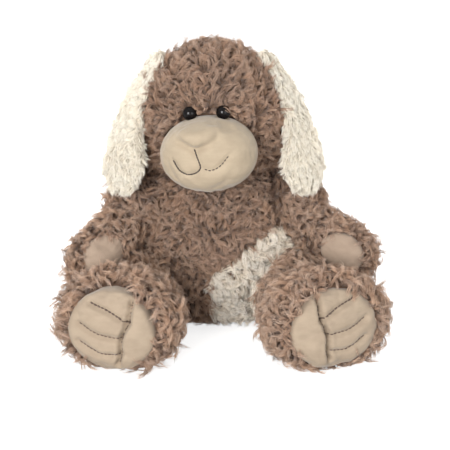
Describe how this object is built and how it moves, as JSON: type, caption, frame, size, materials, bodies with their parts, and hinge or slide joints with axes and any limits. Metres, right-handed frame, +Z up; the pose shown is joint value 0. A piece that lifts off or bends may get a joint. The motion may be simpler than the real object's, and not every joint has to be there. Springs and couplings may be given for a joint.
{
  "type": "plush dog",
  "caption": "Seated soft toy dog with a round head, floppy cream ears, velour muzzle and soles, and arms, legs, ears, head and tail that swing from the stuffed torso",
  "frame": {"origin": "on the floor under the middle of the flat seat", "axes": "+Z up, the dog faces -Y, +X is its own left"},
  "size_m": [0.2669, 0.2518, 0.2519],
  "materials": {
    "brown_plush": "curly pinkish taupe plush",
    "cream_plush": "cream plush",
    "beige_velour": "short beige velour",
    "taupe_velour": "short taupe velour",
    "stuffing": "polyester fibre filling",
    "eye_gloss": "glossy black",
    "washer_white": "white lock washer",
    "dark_thread": "dark embroidery thread",
    "brown_thread": "brown thread"
  },
  "bodies": {
    "torso": {"torso_front_panel": "brown_plush", "torso_back_panel": "brown_plush", "hip_patch": "cream_plush", "seat_panel": "brown_plush", "torso_stuffing": "stuffing", "back_closing_stitch": "brown_thread"},
    "neck": {"neck_stuffing": "stuffing"},
    "head": {"crown_panel": "brown_plush", "head_left_panel": "brown_plush", "head_right_panel": "brown_plush", "head_stuffing": "stuffing", "muzzle_panel": "beige_velour", "chin_panel": "beige_velour", "muzzle_stuffing": "stuffing", "mouth_stitch_left": "dark_thread", "mouth_stitch_right": "dark_thread", "eye_left": "eye_gloss", "eye_right": "eye_gloss", "eye_washer_left": "washer_white", "eye_washer_right": "washer_white"},
    "tail": {"tail_sleeve": "brown_plush", "tail_stuffing": "stuffing"},
    "ear_left": {"ear_left_outer": "cream_plush", "ear_left_lining": "cream_plush"},
    "arm_left": {"arm_left_sleeve": "brown_plush", "paw_pad_left": "taupe_velour", "arm_left_stuffing": "stuffing"},
    "leg_left": {"leg_left_sleeve": "brown_plush", "sole_pad_left": "beige_velour", "leg_left_stuffing": "stuffing", "toe_stitch_left_1": "brown_thread", "toe_stitch_left_2": "brown_thread", "toe_stitch_left_3": "brown_thread", "tuck_stitch_left": "brown_thread"},
    "ear_right": {"ear_right_outer": "cream_plush", "ear_right_lining": "cream_plush"},
    "arm_right": {"arm_right_sleeve": "brown_plush", "paw_pad_right": "taupe_velour", "arm_right_stuffing": "stuffing"},
    "leg_right": {"leg_right_sleeve": "brown_plush", "sole_pad_right": "beige_velour", "leg_right_stuffing": "stuffing", "toe_stitch_right_1": "brown_thread", "toe_stitch_right_2": "brown_thread", "toe_stitch_right_3": "brown_thread", "tuck_stitch_right": "brown_thread"}
  },
  "joints": [
    {"name": "head_turn", "type": "hinge", "parent": "torso", "child": "neck", "pos_m": [-0.002, -0.008, 0.142], "axis": [0, 0, 1], "range_deg": [-25, 25]},
    {"name": "head_nod", "type": "hinge", "parent": "neck", "child": "head", "pos_m": [-0.002, -0.008, 0.142], "axis": [1, 0, 0], "range_deg": [-12, 15]},
    {"name": "ear_left_flap", "type": "hinge", "parent": "head", "child": "ear_left", "pos_m": [0.046, -0.03, 0.234], "axis": [0, -1, 0], "range_deg": [-2, 55]},
    {"name": "ear_right_flap", "type": "hinge", "parent": "head", "child": "ear_right", "pos_m": [-0.046, -0.03, 0.234], "axis": [0, 1, 0], "range_deg": [-2, 55]},
    {"name": "arm_left_swing", "type": "hinge", "parent": "torso", "child": "arm_left", "pos_m": [0.066, 0, 0.101], "axis": [-1, 0, 0], "range_deg": [-8, 25]},
    {"name": "arm_right_swing", "type": "hinge", "parent": "torso", "child": "arm_right", "pos_m": [-0.066, 0, 0.101], "axis": [-1, 0, 0], "range_deg": [-8, 25]},
    {"name": "leg_left_lift", "type": "hinge", "parent": "torso", "child": "leg_left", "pos_m": [0.054, -0.028, 0.034], "axis": [-1, 0, 0], "range_deg": [-4, 12]},
    {"name": "leg_right_lift", "type": "hinge", "parent": "torso", "child": "leg_right", "pos_m": [-0.054, -0.028, 0.034], "axis": [-1, 0, 0], "range_deg": [-4, 8]},
    {"name": "tail_wag", "type": "hinge", "parent": "torso", "child": "tail", "pos_m": [0, 0.06, 0.03], "axis": [0, 0, 1], "range_deg": [-25, 25]}
  ]
}
